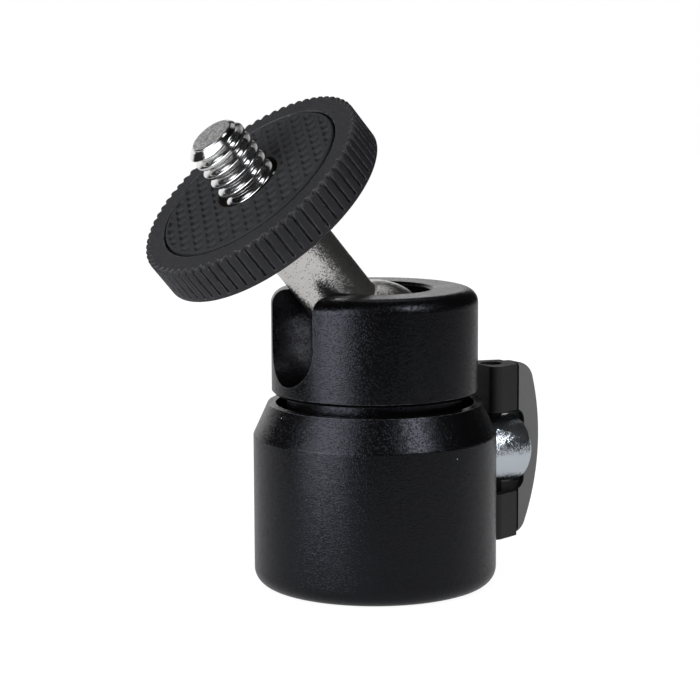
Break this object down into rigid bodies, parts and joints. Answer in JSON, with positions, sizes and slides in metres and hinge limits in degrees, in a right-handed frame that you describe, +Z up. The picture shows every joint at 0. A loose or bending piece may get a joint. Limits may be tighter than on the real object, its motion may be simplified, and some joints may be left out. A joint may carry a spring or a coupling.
{
  "type": "camera ball head",
  "caption": "Small camera ball head: swivelling ball housing with a drop notch on a round base, knurled lock disc under a camera stud, and one wing knob that locks it all.",
  "frame": {"origin": "middle of the underside of the base, on the axis of the tripod thread", "axes": "+Z up along the swivel axis, +X towards the wing knob, -X towards the drop notch"},
  "size_m": [0.0461, 0.0262, 0.0522],
  "materials": {
    "black_anodised": "bead blasted, black anodised",
    "white_nylon": "moulded",
    "plain_aluminium": "turned",
    "spring_steel": "oiled",
    "satin_chrome": "satin plated",
    "bright_steel": "bright nickel plated",
    "black_plastic": "fine moulded grain",
    "brass": "turned",
    "pad_rubber": "waffle grip texture",
    "zinc_plate": "blue zinc plated",
    "wing_plastic": "semi gloss moulded"
  },
  "bodies": {
    "base": {"base_housing": "black_anodised", "disc_spring_lower": "spring_steel", "disc_spring_upper": "spring_steel"},
    "ball_housing": {"ball_housing": "black_anodised", "ball_seat": "white_nylon", "seat_piston": "plain_aluminium"},
    "ball_stem": {"ball_stem": "satin_chrome"},
    "camera_stud": {"camera_stud": "bright_steel"},
    "disc_nut": {"disc_nut": "brass"},
    "lock_disc": {"lock_disc": "black_plastic", "grip_pad": "pad_rubber"},
    "screw_tip": {"screw_tip": "brass"},
    "lock_screw": {"lock_screw": "zinc_plate", "wing_knob": "wing_plastic", "wing_pin": "spring_steel"}
  },
  "joints": [
    {"name": "pan", "type": "hinge", "parent": "base", "child": "ball_housing", "pos_m": [0, 0, 0.0206], "axis": [0, 0, 1], "continuous": true},
    {"name": "ball_tilt", "type": "hinge", "parent": "ball_housing", "child": "ball_stem", "pos_m": [0, 0, 0.02615], "axis": [0, -1, 0], "range_deg": [-59.6, 33.2]},
    {"name": "ball_spin", "type": "hinge", "parent": "ball_stem", "child": "camera_stud", "pos_m": [-0.01249, 0, 0.04047], "axis": [-0.6574, 0, 0.7536], "continuous": true},
    {"name": "disc_lift", "type": "slide", "parent": "camera_stud", "child": "disc_nut", "axis": [-0.6574, 0, 0.7536], "range_m": [0, 0.00254]},
    {"name": "disc_turn", "type": "hinge", "parent": "disc_nut", "child": "lock_disc", "pos_m": [-0.01536, 0, 0.04376], "axis": [-0.6574, 0, 0.7536], "range_deg": [0, 720.1]},
    {"name": "lock_feed", "type": "slide", "parent": "base", "child": "screw_tip", "axis": [1, 0, 0], "range_m": [0, 0.0012]},
    {"name": "lock_turn", "type": "hinge", "parent": "screw_tip", "child": "lock_screw", "pos_m": [0.0126, 0, 0.0129], "axis": [1, 0, 0], "range_deg": [0, 540.1]}
  ],
  "couplings": [
    {"joint": "disc_turn", "follows": "disc_lift", "rad_per_m": 4947.4},
    {"joint": "lock_turn", "follows": "lock_feed", "rad_per_m": 7854}
  ]
}
